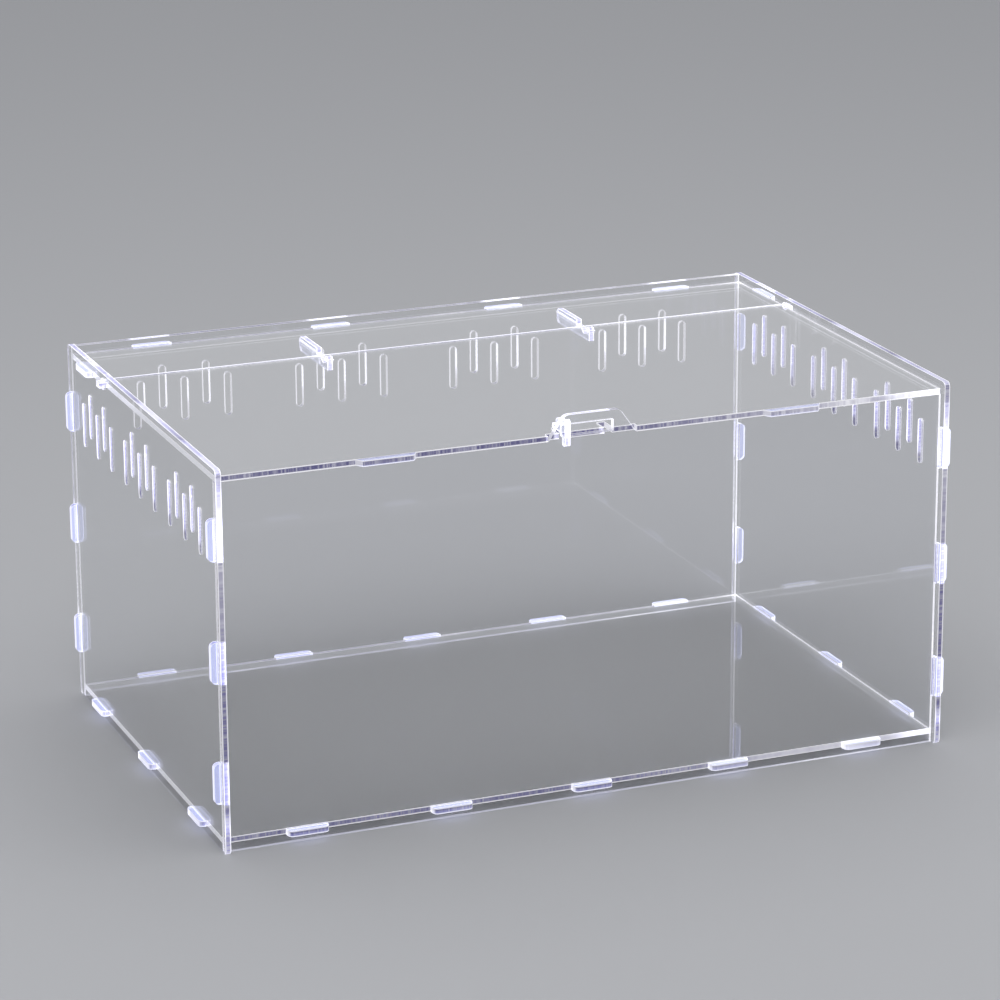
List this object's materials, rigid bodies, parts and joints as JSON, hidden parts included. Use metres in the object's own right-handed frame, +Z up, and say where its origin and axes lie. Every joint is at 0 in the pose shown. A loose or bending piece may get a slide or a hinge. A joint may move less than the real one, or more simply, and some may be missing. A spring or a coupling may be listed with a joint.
{
  "type": "reptile breeding box",
  "caption": "Clear acrylic breeding box of tabbed sheet panels with air slots, a flip lid on rear pivot ears and a sliding latch key.",
  "frame": {"origin": "middle of the box's outline, on the plane of the table it stands on", "axes": "+X to the right along the front, -Y towards the front with the latch, +Z up"},
  "size_m": [0.305, 0.191, 0.1542],
  "materials": {
    "clear_acrylic": "clear cast acrylic with bright matt cut edges"
  },
  "bodies": {
    "box": {"left_panel": "clear_acrylic", "right_panel": "clear_acrylic", "front_panel": "clear_acrylic", "back_panel": "clear_acrylic", "base_panel": "clear_acrylic", "rear_top_strip": "clear_acrylic", "hinge_support_left": "clear_acrylic", "hinge_support_right": "clear_acrylic"},
    "lid": {"lid": "clear_acrylic"},
    "latch": {"latch_key": "clear_acrylic"}
  },
  "joints": [
    {"name": "lid_hinge", "type": "hinge", "parent": "box", "child": "lid", "pos_m": [0, 0.046, 0.14585], "axis": [-1, 0, 0], "range_deg": [0, 125]},
    {"name": "latch_slide", "type": "slide", "parent": "box", "child": "latch", "axis": [1, 0, 0], "range_m": [0, 0.0187]}
  ]
}
